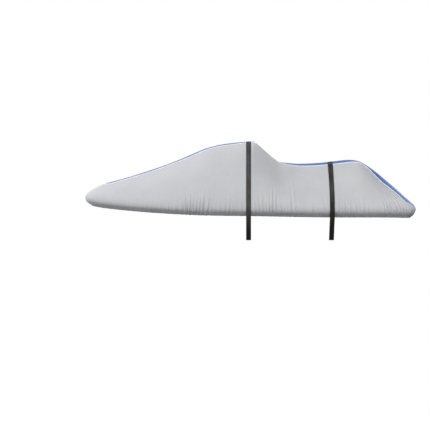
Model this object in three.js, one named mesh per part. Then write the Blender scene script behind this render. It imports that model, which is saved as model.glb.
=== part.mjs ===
// A fitted cover for a personal watercraft, as it hangs stretched over the craft and strapped down.
// Millimetres. X runs from the bow to the stern, Y to starboard, Z up. The origin lies on the inner
// face of the cloth, under the crown where the handlebars hold the cover highest.
// Two grey side panels meet in a short seam at the nose, a blue panel runs along the top from there
// to the stern hem, a light piping fills the seam between them, and two webbing straps cross over.
import * as THREE from "three";

const CLOTH = 2; // thickness of the coated cloth
const PIPING = 10; // diameter of the cord sewn into the seam
const SEAM_GAP = 0.3; // free space between the cord and the cloth on either side of it
const SEAM_CLEAR = PIPING / 2 + SEAM_GAP; // cloth edge to the middle of the seam
const NOSE_CLEAR = 0.2; // cloth edge to the middle of the nose seam

const WEBBING = { width: 50, thickness: 2, gap: 0.9 };
const STRAPS = [
  { name: "front_strap", at: -14 },
  { name: "rear_strap", at: 837 },
];
const STRAP_END = { half: 560, z: -1001 };
// How far forward of that place a strap lies, by height.
const STRAP_DRIFT = [
  { z: -1001, front_strap: 0, rear_strap: -10 },
  { z: -870, front_strap: 0, rear_strap: -5 },
  { z: -760, front_strap: 0, rear_strap: 0 },
  { z: -650, front_strap: 0, rear_strap: 0 },
  { z: -550, front_strap: 0, rear_strap: -2 },
  { z: -450, front_strap: 0, rear_strap: -7 },
  { z: -350, front_strap: 0, rear_strap: -13 },
  { z: -255, front_strap: 0, rear_strap: -20.5 },
  { z: -205, front_strap: 0, rear_strap: -24.5 },
];

// The rail is the outermost line of the cover, where it rounds the edge of the deck.
const RAIL = { bowX: -1671, sternX: 1681, half: 610, bowRun: 1500, sternRun: 480 };
// Powers of the superellipses that round the bow, the stern and the top panel's front corners.
const ROUNDS = { bowRun: 2.2, bowHalf: 1.9, stern: 12, front: 2.6 };
const HEM = { inset: 70, endInset: 30, drop: 93, turn: 82 }; // how the cloth turns in below the rail

const COLUMNS = 66; // ribs from the nose to the transom, on each side
const FLANK_ROWS = 6; // seam to rail
const TURN_ROWS = 4; // rail to hem
const ROWS = FLANK_ROWS + TURN_ROWS;
const ACROSS = 4; // strips across the top panel
const FRONT_ROUND = 90; // length over which the top panel's front corners are rounded
const LAST_RIB_X = 1540; // where the seam stops being a panel's top edge and becomes its rear edge
const REAR_BLEND = 8; // columns over which the ribs are drawn onto that rear edge

// The ridge is the highest line of the cloth's inner face along the cover: x, z, then how far the
// middle of the top panel sags below it, how far the seam lies below it, and the top panel's half
// width.
const RIDGE = [
  { x: -1478, z: -428, sag: 0, drop: 17, half: 118 },
  { x: -1322, z: -386, sag: 0, drop: 15.5, half: 130 },
  { x: -1154, z: -338, sag: 0, drop: 14.5, half: 142 },
  { x: -986, z: -285, sag: 0, drop: 14.5, half: 152 },
  { x: -817, z: -223, sag: 0, drop: 14.5, half: 160 },
  { x: -649, z: -158, sag: 0, drop: 14.5, half: 165 },
  { x: -542, z: -111, sag: 0, drop: 15, half: 168 },
  { x: -458, z: -74, sag: 0, drop: 15.5, half: 170 },
  { x: -374, z: -49, sag: 0, drop: 15.5, half: 170 },
  { x: -289, z: -31, sag: 0, drop: 15.5, half: 170 },
  { x: -205, z: -19, sag: 0, drop: 15.5, half: 170 },
  { x: -38, z: -2, sag: 0, drop: 13.5, half: 170 },
  { x: 18, z: 0, sag: 0, drop: 12.5, half: 170 },
  { x: 53, z: -4, sag: 2, drop: 9.5, half: 169 },
  { x: 100, z: -50, sag: 20, drop: 1, half: 168 },
  { x: 215, z: -152, sag: 24, drop: 1, half: 166 },
  { x: 299, z: -200, sag: 6, drop: 11, half: 165 },
  { x: 350, z: -213, sag: 2, drop: 15.5, half: 165 },
  { x: 400, z: -220, sag: 0, drop: 17.5, half: 165 },
  { x: 484, z: -227, sag: 0, drop: 22.5, half: 165 },
  { x: 620, z: -222, sag: 0, drop: 27, half: 166 },
  { x: 792, z: -208, sag: 0, drop: 29, half: 168 },
  { x: 953, z: -191, sag: 0, drop: 28, half: 170 },
  { x: 1012, z: -187, sag: 0, drop: 25, half: 170 },
  { x: 1063, z: -191, sag: 0, drop: 19.5, half: 170 },
  { x: 1122, z: -207, sag: 0, drop: 13.5, half: 170 },
  { x: 1206, z: -256, sag: 0, drop: 19, half: 170 },
  { x: 1290, z: -320, sag: 0, drop: 33, half: 170 },
  { x: 1370, z: -385.5, sag: 0, drop: 41, half: 170 },
  { x: 1458, z: -458, sag: 0, drop: 37, half: 170 },
  { x: 1542, z: -534, sag: 0, drop: 33, half: 170 },
  { x: 1626, z: -610, sag: 0, drop: 33, half: 170 },
  { x: 1665, z: -648, sag: 0, drop: 22, half: 170 },
  { x: 1681, z: -685, sag: 0, drop: 15, half: 170 },
  { x: 1669, z: -722, sag: 0, drop: 13, half: 170 },
  { x: 1647, z: -751, sag: 0, drop: 13, half: 170 },
  { x: 1612, z: -774, sag: 0, drop: 13, half: 170 },
];

// Height of the rail along the craft.
const SHEER = [
  { x: -1671, z: -562 },
  { x: -1560, z: -578 },
  { x: -1400, z: -596 },
  { x: -1200, z: -614 },
  { x: -986, z: -631 },
  { x: -746, z: -645 },
  { x: -450, z: -657 },
  { x: 100, z: -665 },
  { x: 700, z: -676 },
  { x: 1400, z: -678 },
  { x: 1681, z: -682 },
];

// How the cloth leaves the seam and meets the rail: it runs `out` and down by `fall` from the seam,
// and comes down straight over the last `flank` above the rail.
const RIBS = [
  { x: -1478, out: 70, fall: 34, flank: 40 },
  { x: -1300, out: 110, fall: 40, flank: 80 },
  { x: -1000, out: 170, fall: 70, flank: 130 },
  { x: -600, out: 200, fall: 95, flank: 170 },
  { x: -300, out: 210, fall: 85, flank: 190 },
  { x: -20, out: 235, fall: 50, flank: 220 },
  { x: 120, out: 190, fall: 90, flank: 170 },
  { x: 300, out: 200, fall: 160, flank: 120 },
  { x: 600, out: 200, fall: 175, flank: 95 },
  { x: 1012, out: 210, fall: 180, flank: 85 },
  { x: 1206, out: 190, fall: 160, flank: 70 },
  { x: 1540, out: 90, fall: 84, flank: 34 },
];

// Which point of the seam each point of the rail is tied to, by their places along the craft.
const TIES = [
  { rail: -1000, seam: -1060 },
  { rail: -500, seam: -510 },
  { rail: 600, seam: 600 },
  { rail: 1100, seam: 1050 },
  { rail: 1560, seam: 1330 },
];

// The main folds of a side panel: place along the rail, width, height of the ridge or depth of the
// trough, how far above the hem it fades out, and how far its top leans towards the stern.
const FOLDS = [
  { at: -640, width: 42, height: 9, reach: 210, lean: -40 },
  { at: -545, width: 38, height: -9, reach: 260, lean: -15 },
  { at: -440, width: 44, height: 10, reach: 230, lean: 30 },
  { at: -120, width: 50, height: -7, reach: 240, lean: 10 },
  { at: 170, width: 44, height: 9, reach: 260, lean: -20 },
  { at: 262, width: 40, height: -9, reach: 430, lean: -10 },
  { at: 350, width: 42, height: 8, reach: 250, lean: 15 },
  { at: 440, width: 40, height: -8, reach: 470, lean: -15 },
  { at: 640, width: 46, height: 8, reach: 220, lean: 10 },
  { at: 1010, width: 44, height: 8, reach: 230, lean: -25 },
  { at: 1130, width: 42, height: -9, reach: 260, lean: 10 },
  { at: 1400, width: 46, height: 8, reach: 260, lean: -60 },
  { at: 1520, width: 44, height: -9, reach: 260, lean: -70 },
];

const clamp = THREE.MathUtils.clamp;
const lerp = THREE.MathUtils.lerp;
const V = (x, y, z) => new THREE.Vector3(x, y, z);

// A smooth curve through a table: between two rows every column is a cubic whose slope at each row
// is that of the line between its neighbours. `places` is where the rows lie along the curve.
function throughRows(rows, places) {
  const last = rows.length - 1;
  const slope = (name, i) => {
    const a = Math.max(i - 1, 0);
    const b = Math.min(i + 1, last);
    return (rows[b][name] - rows[a][name]) / (places[b] - places[a]);
  };
  return (place) => {
    let i = 0;
    while (i < last - 1 && place > places[i + 1]) i++;
    const step = places[i + 1] - places[i];
    const t = clamp((place - places[i]) / step, 0, 1);
    const value = {};
    for (const name of Object.keys(rows[0])) {
      const [a, b] = [rows[i][name], rows[i + 1][name]];
      const [ma, mb] = [slope(name, i) * step, slope(name, i + 1) * step];
      value[name] = a + t * (ma + t * (3 * (b - a) - 2 * ma - mb + t * (2 * (a - b) + ma + mb)));
    }
    return value;
  };
}

const throughX = (rows) => throughRows(rows, rows.map((row) => row.x));

// Running length of a list of points, and the point at a given length along it.
function measured(points) {
  const lengths = [0];
  points.slice(1).forEach((p, i) => lengths.push(lengths[i] + p.distanceTo(points[i])));
  const total = lengths[lengths.length - 1];
  const indexAt = (length) => {
    const i = Math.max(lengths.findIndex((l) => l >= length), 1);
    return i - 1 + (length - lengths[i - 1]) / (lengths[i] - lengths[i - 1]);
  };
  const at = (length) => {
    const index = clamp(indexAt(clamp(length, 0, total)), 0, points.length - 1.001);
    return points[Math.floor(index)].clone().lerp(points[Math.floor(index) + 1], index % 1);
  };
  return { lengths, total, indexAt, at };
}

// ---- ridge and seam ----

const ridgePlaces = measured(RIDGE.map((row) => V(row.x, 0, row.z))).lengths;
const ridgeRow = throughRows(RIDGE, ridgePlaces);
const ridgeEnd = ridgePlaces[ridgePlaces.length - 1];

// Ridge point and the direction square to the ridge, pointing out of the cover.
function ridgeAt(place) {
  const row = ridgeRow(place);
  const [a, b] = [ridgeRow(Math.max(place - 1, 0)), ridgeRow(Math.min(place + 1, ridgeEnd))];
  const up = V(a.z - b.z, 0, b.x - a.x).normalize();
  return { row, up, point: V(row.x, 0, row.z) };
}

// A point of the top panel, at `w` from 0 in the middle to 1 at the port seam. Across the panel the
// surface is a parabola between the sagging middle and the lower seam, and the front corners round
// in as a superellipse.
function panelPoint(place, w) {
  const { row, up, point } = ridgeAt(place);
  const lead = 1 - clamp(place / FRONT_ROUND, 0, 1);
  const rounded = (1 - lead ** ROUNDS.front) ** (1 / ROUNDS.front);
  const across = w * rounded;
  const depth = lerp(row.sag, row.drop, across * across);
  const p = point.addScaledVector(up, CLOTH / 2 - depth).setY(-across * row.half);
  return { p, up, across, row };
}

// Outward normal of the top panel at its port edge.
function panelNormal({ up, across, row }) {
  const tilt = (2 * (row.drop - row.sag) * across) / row.half;
  return up.clone().addScaledVector(V(0, -1, 0), tilt).normalize();
}

// The port seam as a line of points from the nose to the stern hem, closest at the rounded front.
const seamLine = (() => {
  const places = Array.from({ length: 1201 }, (_, i) => (i / 1200) ** 1.5 * ridgeEnd);
  const points = places.map((place) => panelPoint(place, 1).p);
  return { places, points, ...measured(points) };
})();

// ---- rail ----

// Plan outline of the rail: a pointed round bow and a squared stern with rounded corners.
function railHalf(x) {
  const lead = 1 - clamp((x - RAIL.bowX) / RAIL.bowRun, 0, 1);
  const tail = clamp((x - RAIL.sternX + RAIL.sternRun) / RAIL.sternRun, 0, 1);
  const bow = (1 - lead ** ROUNDS.bowRun) ** (1 / ROUNDS.bowHalf);
  return RAIL.half * bow * (1 - tail ** ROUNDS.stern) ** (1 / ROUNDS.stern);
}

const sheerAt = throughX(SHEER);
const seamSternHalf = RIDGE[RIDGE.length - 1].half;

const railLine = (() => {
  const points = [];
  const steps = 1200;
  for (let i = 0; i <= steps; i++) {
    const x = lerp(RAIL.bowX, RAIL.sternX, 0.5 - 0.5 * Math.cos((Math.PI * i) / steps));
    const half = railHalf(x);
    if (x > 0 && half < seamSternHalf) break;
    points.push(V(x, -half, 0));
  }
  return { points, ...measured(points) };
})();

function railAt(length) {
  const p = railLine.at(length);
  const [a, b] = [railLine.at(length - 4), railLine.at(length + 4)];
  const outward = V(b.y - a.y, a.x - b.x, 0).normalize();
  if (length < 4) outward.set(-1, 0, 0);
  return { point: p.setZ(sheerAt(p.x).z), outward };
}

// ---- ribs: the lines of cloth from the seam over the rail to the hem ----

const lengthAtX = (line, x) => line.lengths[line.points.findIndex((p) => p.x > x)];
const lastRibLength = lengthAtX(seamLine, LAST_RIB_X);
const tieRows = [
  { rail: 0, seam: 0 },
  ...TIES.map((tie) => ({ rail: lengthAtX(railLine, tie.rail), seam: lengthAtX(seamLine, tie.seam) })),
  { rail: railLine.total, seam: lastRibLength },
];
const tieAt = throughRows(tieRows, tieRows.map((row) => row.rail));
const ribShape = throughX(RIBS);

// A rib is a cubic from the seam, leaving it outwards and a little down and coming down upright on
// the rail, then a quarter ellipse that turns in under the rail to the hem.
function ribPoint(seam, rail, row) {
  const outward = rail.point.clone().sub(seam).setZ(0).normalize();
  const shape = ribShape(seam.x);
  if (row <= FLANK_ROWS) {
    const first = seam.clone().addScaledVector(outward, shape.out).add(V(0, 0, -shape.fall));
    const second = rail.point.clone().add(V(0, 0, shape.flank));
    return new THREE.CubicBezierCurve3(seam, first, second, rail.point).getPoint(row / FLANK_ROWS);
  }
  const turn = THREE.MathUtils.degToRad((HEM.turn * (row - FLANK_ROWS)) / TURN_ROWS);
  const inset = HEM.inset + HEM.endInset * rail.outward.x ** 2;
  return rail.point
    .clone()
    .addScaledVector(rail.outward, -inset * (1 - Math.cos(turn)))
    .add(V(0, 0, -HEM.drop * Math.sin(turn)));
}

// Height of the folds at a place along the rail and a height above the hem.
function foldHeight(x, above) {
  return FOLDS.reduce((sum, fold) => {
    const rise = clamp(above / fold.reach, 0, 1);
    const off = (x - fold.at - fold.lean * rise) / fold.width;
    return sum + fold.height * Math.exp(-off * off) * Math.cos((rise * Math.PI) / 2) ** 2;
  }, 0);
}

// ---- seam stations, shared by both panels and the piping ----

const stations = (() => {
  const lengths = [];
  for (let i = 0; i <= COLUMNS; i++) {
    lengths.push(tieAt((i / COLUMNS) * railLine.total).seam);
  }
  const sternRail = sheerAt(RAIL.sternX).z;
  const railLength = seamLine.lengths[seamLine.points.findIndex((p) => p.z < sternRail)];
  for (let j = 1; j <= ROWS; j++) {
    lengths.push(
      j <= FLANK_ROWS
        ? lerp(lastRibLength, railLength, j / FLANK_ROWS)
        : lerp(railLength, seamLine.total, (j - FLANK_ROWS) / TURN_ROWS),
    );
  }
  const found = lengths.map((length, i) => {
    const index = seamLine.indexAt(length);
    const [a, b] = [Math.floor(index), Math.min(Math.floor(index) + 1, seamLine.places.length - 1)];
    const place = lerp(seamLine.places[a], seamLine.places[b], index - a);
    const edge = panelPoint(place, 1);
    return { place, point: edge.p, normal: panelNormal(edge) };
  });
  found.forEach((station, i) => {
    const ahead = i === 0 ? found[1].point.clone().multiply(V(1, -1, 1)) : found[i - 1].point;
    const behind = found[Math.min(i + 1, found.length - 1)].point;
    station.along = behind.clone().sub(ahead).normalize();
    station.out = station.along.clone().cross(station.normal).normalize();
    station.normal = station.out.clone().cross(station.along);
  });
  return found;
})();

// ---- solids ----

// A closed sheet from a grid of middle points and their normals. Both faces are cut into triangles
// along the same diagonals, so the cloth is equally thick everywhere, and a rim joins them.
function sheetGeometry(grid, normals, thickness) {
  const [columns, rows] = [grid.length, grid[0].length];
  const positions = [];
  for (const side of [0.5, -0.5]) {
    grid.forEach((column, i) =>
      column.forEach((p, j) => {
        positions.push(...p.clone().addScaledVector(normals[i][j], side * thickness));
      }),
    );
  }
  const outer = (i, j) => i * rows + j;
  const inner = (i, j) => columns * rows + i * rows + j;
  const faces = [];
  for (let i = 0; i < columns - 1; i++) {
    for (let j = 0; j < rows - 1; j++) {
      faces.push(outer(i, j), outer(i, j + 1), outer(i + 1, j));
      faces.push(outer(i, j + 1), outer(i + 1, j + 1), outer(i + 1, j));
      faces.push(inner(i, j), inner(i + 1, j), inner(i, j + 1));
      faces.push(inner(i, j + 1), inner(i + 1, j), inner(i + 1, j + 1));
    }
  }
  const rim = [];
  for (let j = 0; j < rows - 1; j++) rim.push([0, j]);
  for (let i = 0; i < columns - 1; i++) rim.push([i, rows - 1]);
  for (let j = rows - 1; j > 0; j--) rim.push([columns - 1, j]);
  for (let i = columns - 1; i > 0; i--) rim.push([i, 0]);
  rim.forEach((a, k) => {
    const b = rim[(k + 1) % rim.length];
    faces.push(outer(...a), inner(...a), outer(...b));
    faces.push(inner(...a), inner(...b), outer(...b));
  });
  return new THREE.BufferGeometry()
    .setAttribute("position", new THREE.Float32BufferAttribute(positions, 3))
    .setIndex(faces);
}

// Normal at each point of a grid, square to the lines through its neighbours.
function gridNormals(grid) {
  const pick = (i, j) =>
    grid[clamp(i, 0, grid.length - 1)][clamp(j, 0, grid[0].length - 1)].clone();
  return grid.map((column, i) =>
    column.map((_, j) => {
      const along = pick(i + 1, j).sub(pick(i - 1, j));
      const down = pick(i, j + 1).sub(pick(i, j - 1));
      return down.cross(along).normalize();
    }),
  );
}

// Port side panel: ribs from the nose to the last one, drawn onto the seam down the transom, with
// the folds raised on them and their tops and the rear edge cut back from the middle of the seam.
function sidePanel() {
  const grid = [];
  for (let i = 0; i <= COLUMNS; i++) {
    const rail = railAt((i / COLUMNS) * railLine.total);
    grid.push(Array.from({ length: ROWS + 1 }, (_, j) => ribPoint(stations[i].point, rail, j)));
  }
  const miss = grid[COLUMNS].map((p, j) => stations[COLUMNS + j].point.clone().sub(p));
  grid.forEach((column, i) => {
    const share = clamp(1 - (COLUMNS - i) / REAR_BLEND, 0, 1) ** 2;
    column.forEach((p, j) => p.addScaledVector(miss[j], share));
  });
  const normals = gridNormals(grid);
  grid.forEach((column, i) =>
    column.forEach((p, j) => {
      const ends = Math.sin((Math.PI * i) / COLUMNS) ** 0.5;
      p.addScaledVector(normals[i][j], ends * foldHeight(column[FLANK_ROWS].x, p.z - column[ROWS].z));
    }),
  );
  const setEdge = (i, j, station) => {
    grid[i][j] = station.point.clone().addScaledVector(station.out, SEAM_CLEAR);
    normals[i][j] = station.normal;
  };
  for (let j = 0; j <= ROWS; j++) {
    grid[0][j].y = -NOSE_CLEAR;
    normals[0][j].setY(0).normalize();
    setEdge(COLUMNS, j, stations[COLUMNS + j]);
  }
  for (let i = 0; i <= COLUMNS; i++) setEdge(i, 0, stations[i]);
  grid[0][0].y = -NOSE_CLEAR;
  return { grid, normals };
}

// Top panel: rows across it at every seam station, from the front edge to the stern hem.
function topPanel() {
  const edges = stations.map((s) => s.point.clone().addScaledVector(s.out, -SEAM_CLEAR));
  const grid = stations.slice(1).map((station, i) => {
    const edge = edges[i + 1];
    const middle = panelPoint(station.place, 0).p;
    return Array.from({ length: ACROSS + 1 }, (_, k) => {
      const w = (2 * k) / ACROSS - 1;
      const share = i === 0 ? Math.abs(w) : w * w;
      const p = (i === 0 ? edges[0] : middle).clone().lerp(edge, share);
      return p.setY(w * edge.y);
    });
  });
  return { grid, normals: gridNormals(grid) };
}

// Piping: a round cord along the port seam, across the front edge and back along the other seam.
function pipingGeometry() {
  const mirror = V(1, -1, 1);
  const port = stations.slice().reverse();
  const starboard = stations.slice(1).map((s) => ({
    point: s.point.clone().multiply(mirror),
    out: s.out.clone().multiply(mirror),
    normal: s.normal.clone().multiply(mirror),
  }));
  const rings = [...port, ...starboard];
  const steps = rings.length - 1;
  const cord = new THREE.CylinderGeometry(PIPING / 2, PIPING / 2, 1, 6, steps);
  const position = cord.getAttribute("position");
  for (let v = 0; v < position.count; v++) {
    const ring = rings[Math.round((0.5 - position.getY(v)) * steps)];
    const p = ring.point
      .clone()
      .addScaledVector(ring.out, position.getX(v))
      .addScaledVector(ring.normal, position.getZ(v));
    position.setXYZ(v, p.x, p.y, p.z);
  }
  return cord;
}

// Points of the cover's outer face at one place along it, from the crown to the rail on the port
// side: where that plane cuts the lines between neighbouring columns and the diagonals of the faces.
function sectionAt(x, panel, fromRow, toRow) {
  const face = panel.grid.map((column, i) =>
    column.map((p, j) => p.clone().addScaledVector(panel.normals[i][j], CLOTH / 2)),
  );
  const found = [];
  for (let i = 0; i < face.length - 1; i++) {
    for (let j = fromRow; j <= toRow; j++) {
      for (const [a, b] of [[face[i][j], face[i + 1][j]], [face[i][j], face[i + 1][j - 1]]]) {
        if (b && a.x <= x && b.x > x) found.push(a.clone().lerp(b, (x - a.x) / (b.x - a.x)));
      }
    }
  }
  return found.map((p) => new THREE.Vector2(Math.abs(p.y), p.z));
}

// Points round the piping at one place along the cover.
function pipingSectionAt(x) {
  const i = stations.findIndex((s) => s.point.x > x);
  const [a, b] = [stations[i - 1], stations[i]];
  const middle = a.point.clone().lerp(b.point, (x - a.point.x) / (b.point.x - a.point.x));
  return [-60, -30, 0, 30, 60].map((angle) => {
    const turn = THREE.MathUtils.degToRad(angle);
    const p = middle
      .clone()
      .addScaledVector(a.normal, (Math.cos(turn) * PIPING) / 2)
      .addScaledVector(a.out, (Math.sin(turn) * PIPING) / 2);
    return new THREE.Vector2(Math.abs(p.y), p.z);
  });
}

// The line of a strap pulled tight over a set of section points, from its highest one at the middle
// to the strap's end: every other point lies inside the line.
function tautLine(points, end) {
  const middle = points.filter((p) => p.x < 1).reduce((best, p) => (p.y > best.y ? p : best));
  const line = [new THREE.Vector2(0, middle.y)];
  while (!line[line.length - 1].equals(end)) {
    const from = line[line.length - 1];
    const rest = [...points, end].filter((p) => p.distanceTo(from) > 0.6 && (p.x > from.x || p.y < from.y));
    line.push(
      rest.reduce((best, p) => (best.clone().sub(from).cross(p.clone().sub(from)) > 0 ? p : best)),
    );
  }
  return line;
}

const driftAt = throughRows(STRAP_DRIFT, STRAP_DRIFT.map((row) => row.z));

// A strap: one taut line over all that lies under its width, moved off the cloth by the gap.
function strapPanel(strap, side, top) {
  const drift = (z) => strap.at + driftAt(z)[strap.name];
  const reach = [drift(0), drift(-700)];
  const points = [];
  for (let x = reach[0] - WEBBING.width / 2; x <= reach[1] + WEBBING.width / 2; x += WEBBING.width / 12) {
    const section = [
      ...sectionAt(x, top, ACROSS / 2, ACROSS),
      ...sectionAt(x, side, 0, FLANK_ROWS + 1),
      ...pipingSectionAt(x),
    ];
    points.push(...section.filter((p) => Math.abs(x - drift(p.y)) < WEBBING.width * 0.56));
  }
  const line = tautLine(points, new THREE.Vector2(STRAP_END.half, STRAP_END.z));
  const across = (y, z) => [-0.5, 0.5].map((share) => V(drift(z) + share * WEBBING.width, y, z));
  const port = line.slice().reverse().map((p) => across(-p.x, p.y));
  const starboard = line.slice(1).map((p) => across(p.x, p.y));
  const grid = [...port, ...starboard];
  const normals = gridNormals(grid);
  grid.forEach((row, i) =>
    row.forEach((p, j) => {
      p.addScaledVector(normals[i][j], WEBBING.gap + WEBBING.thickness / 2);
    }),
  );
  return { grid, normals };
}

// ---- the cover ----

const finishes = {
  grey: { color: 0xc4c5c9, roughness: 0.8 },
  blue: { color: 0x4b72b0, roughness: 0.75 },
  light: { color: 0xe4e5e6, roughness: 0.7 },
  black: { color: 0x2e2e2d, roughness: 0.9 },
};

function addMesh(group, name, geometry, finish) {
  geometry.computeVertexNormals();
  const mesh = new THREE.Mesh(
    geometry,
    new THREE.MeshStandardMaterial({ ...finishes[finish], metalness: 0, name: finish }),
  );
  mesh.name = name;
  group.add(mesh);
  return mesh;
}

const cover = new THREE.Group();
cover.name = "watercraft_cover";

const side = sidePanel();
const top = topPanel();
const sideGeometry = sheetGeometry(side.grid, side.normals, CLOTH);
addMesh(cover, "side_panel_port", sideGeometry, "grey");
addMesh(cover, "side_panel_starboard", sideGeometry, "grey").scale.y = -1;
addMesh(cover, "top_panel", sheetGeometry(top.grid, top.normals, CLOTH), "blue");
addMesh(cover, "piping", pipingGeometry(), "light");
for (const strap of STRAPS) {
  const { grid, normals } = strapPanel(strap, side, top);
  addMesh(cover, strap.name, sheetGeometry(grid, normals, WEBBING.thickness), "black");
}

export default cover;
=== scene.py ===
import math

import bpy
import numpy as np
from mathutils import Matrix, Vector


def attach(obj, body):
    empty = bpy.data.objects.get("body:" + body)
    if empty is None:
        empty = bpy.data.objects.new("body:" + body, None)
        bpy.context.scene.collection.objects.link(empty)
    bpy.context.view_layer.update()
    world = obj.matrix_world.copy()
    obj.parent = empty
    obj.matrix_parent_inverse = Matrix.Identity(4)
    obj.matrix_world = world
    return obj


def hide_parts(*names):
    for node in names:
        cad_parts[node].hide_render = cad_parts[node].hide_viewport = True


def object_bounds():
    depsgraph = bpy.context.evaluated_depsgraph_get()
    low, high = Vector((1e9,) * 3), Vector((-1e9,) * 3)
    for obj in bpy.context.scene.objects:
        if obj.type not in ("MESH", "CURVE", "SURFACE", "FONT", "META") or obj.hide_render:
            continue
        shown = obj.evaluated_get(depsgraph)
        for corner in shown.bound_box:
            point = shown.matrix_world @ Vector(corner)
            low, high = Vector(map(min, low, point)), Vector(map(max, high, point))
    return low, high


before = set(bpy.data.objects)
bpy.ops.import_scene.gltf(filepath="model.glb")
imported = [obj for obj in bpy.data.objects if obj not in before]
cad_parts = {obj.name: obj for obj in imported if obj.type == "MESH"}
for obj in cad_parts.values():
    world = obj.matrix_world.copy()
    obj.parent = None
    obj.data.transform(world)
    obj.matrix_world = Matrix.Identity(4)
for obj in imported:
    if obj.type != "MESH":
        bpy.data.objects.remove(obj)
cadLow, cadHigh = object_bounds()
print("frame loaded with", len(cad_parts), "nodes")

# A fitted cover for a personal watercraft, stretched over the craft and strapped down. Two grey side
# panels, a blue top panel, piping in the seam between them and two webbing straps. Metres, with the
# tables in millimetres; x from the bow to the stern, y to starboard, z up. Each surface is worked out
# as a grid of its outer face.

studio = {
    "viewWidth": 4.3645,
    "viewShift": (-0.360, -0.247),  # from the middle of the cover, along x and z
    "viewDistance": 9.0,
    "viewReach": 100.0,
    "floorBelow": 0.47,  # under the strap ends, where the trailer's wheels would stand
    "floorSize": 60.0,
}

# Soft lights a long way off, alike on both sides: degrees from straight abeam towards the bow, degrees
# above the ground, brightness, and how narrow the light is. The brightnesses began as the results of
# least-squares fits by another program, and were then rounded or changed by hand.
softLights = [
    (-100, 0, 1.6, 24),
    (-50, 25, 2.0, 24),
    (-25, 0, 3.0, 24),
    (0, 25, 2.2, 24),
    (25, 0, 0.9, 24),
    (25, 50, 4.0, 24),
    (50, 25, 2.0, 24),
    (75, 0, 3.3, 24),
    (100, 0, 4.0, 24),
]


def addCamera():
    middle = (cadLow + cadHigh) / 2
    camera = bpy.data.objects.new("camera", bpy.data.cameras.new("camera"))
    camera.data.type = "ORTHO"
    camera.data.ortho_scale = studio["viewWidth"]
    camera.location = (
        middle.x + studio["viewShift"][0],
        cadLow.y - studio["viewDistance"],
        middle.z + studio["viewShift"][1],
    )
    camera.rotation_euler = (math.radians(90), 0, 0)
    camera.data.clip_end = studio["viewReach"]
    bpy.context.scene.collection.objects.link(camera)
    bpy.context.scene.camera = camera


addCamera()

# Lines and tables


def metres(rows):
    # a table that is written in millimetres
    return np.array(rows) * 0.001


def smoothThrough(places, rows):
    # between two rows every column is a cubic whose slope at each row is that of the line between
    # the row's neighbours
    places, rows = np.asarray(places, float), np.asarray(rows, float)
    number = np.arange(len(rows))
    before, after = np.maximum(number - 1, 0), np.minimum(number + 1, len(rows) - 1)
    slopes = (rows[after] - rows[before]) / (places[after] - places[before])[:, None]

    def at(place):
        place = np.clip(place, places[0], places[-1])
        row = np.clip(np.searchsorted(places, place) - 1, 0, len(places) - 2)
        step = (places[row + 1] - places[row])[..., None]
        t = (place - places[row])[..., None] / step
        a, b = rows[row], rows[row + 1]
        ma, mb = slopes[row] * step, slopes[row + 1] * step
        return a + t * (ma + t * (3 * (b - a) - 2 * ma - mb + t * (2 * (a - b) + ma + mb)))

    return at


def unit(vectors):
    return vectors / np.linalg.norm(vectors, axis=-1, keepdims=True)


def runningLength(points):
    # distance walked from the first point of each line, the lines lying along the last axis but one
    steps = np.linalg.norm(np.diff(points, axis=-2), axis=-1)
    start = np.zeros(steps.shape[:-1] + (1,))
    return np.concatenate([start, np.cumsum(steps, axis=-1)], axis=-1)


def lookedUp(lengths, columns):
    # the columns of a line's table at any running length, straight between its close rows
    def at(length):
        return np.stack([np.interp(length, lengths, column) for column in columns.T], axis=-1)

    return at


def tangentsFromMiddle(points):
    # directions along a line that starts on the middle plane and goes on mirrored beyond it
    whole = np.vstack([points[1] * (1, -1, 1), points])
    return unit(np.gradient(whole, axis=0)[1:])


def smoothStep(x, low, high):
    t = np.clip((x - low) / (high - low), 0, 1)
    return t * t * (3 - 2 * t)


def bell(x, middle, width):
    return np.exp(-(((x - middle) / width) ** 2))


# The ridge of the cloth's inner face along the middle: x, z, how far the middle of the top panel sags
# below it, how far the seam lies below it, and the top panel's half width.
ridgeRows = metres([
    (-1478, -428, 0, 17, 118),
    (-1322, -386, 0, 15.5, 130),
    (-1154, -338, 0, 14.5, 142),
    (-986, -285, 0, 14.5, 152),
    (-817, -223, 0, 14.5, 160),
    (-649, -158, 0, 14.5, 165),
    (-542, -111, 0, 15, 168),
    (-458, -74, 0, 15.5, 170),
    (-374, -49, 0, 15.5, 170),
    (-289, -31, 0, 15.5, 170),
    (-205, -19, 0, 15.5, 170),
    (-38, -2, 0, 13.5, 170),
    (18, 0, 0, 12.5, 170),
    (53, -4, 2, 9.5, 169),
    (100, -50, 20, 1, 168),
    (215, -152, 24, 1, 166),
    (299, -200, 6, 11, 165),
    (350, -213, 2, 15.5, 165),
    (400, -220, 0, 17.5, 165),
    (484, -227, 0, 22.5, 165),
    (620, -222, 0, 27, 166),
    (792, -208, 0, 29, 168),
    (953, -191, 0, 28, 170),
    (1012, -187, 0, 25, 170),
    (1063, -191, 0, 19.5, 170),
    (1122, -207, 0, 13.5, 170),
    (1206, -256, 0, 19, 170),
    (1290, -320, 0, 33, 170),
    (1370, -385.5, 0, 41, 170),
    (1458, -458, 0, 37, 170),
    (1542, -534, 0, 33, 170),
    (1626, -610, 0, 33, 170),
    (1665, -648, 0, 22, 170),
    (1681, -685, 0, 15, 170),
    (1669, -722, 0, 13, 170),
    (1647, -751, 0, 13, 170),
    (1612, -774, 0, 13, 170),
])

# Height of the rail along the craft, the line where the cloth rounds the edge of the deck: x, z.
sheerRows = metres([
    (-1671, -562),
    (-1560, -578),
    (-1400, -596),
    (-1200, -614),
    (-986, -631),
    (-746, -645),
    (-450, -657),
    (100, -665),
    (700, -676),
    (1400, -678),
    (1681, -682),
])

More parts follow.
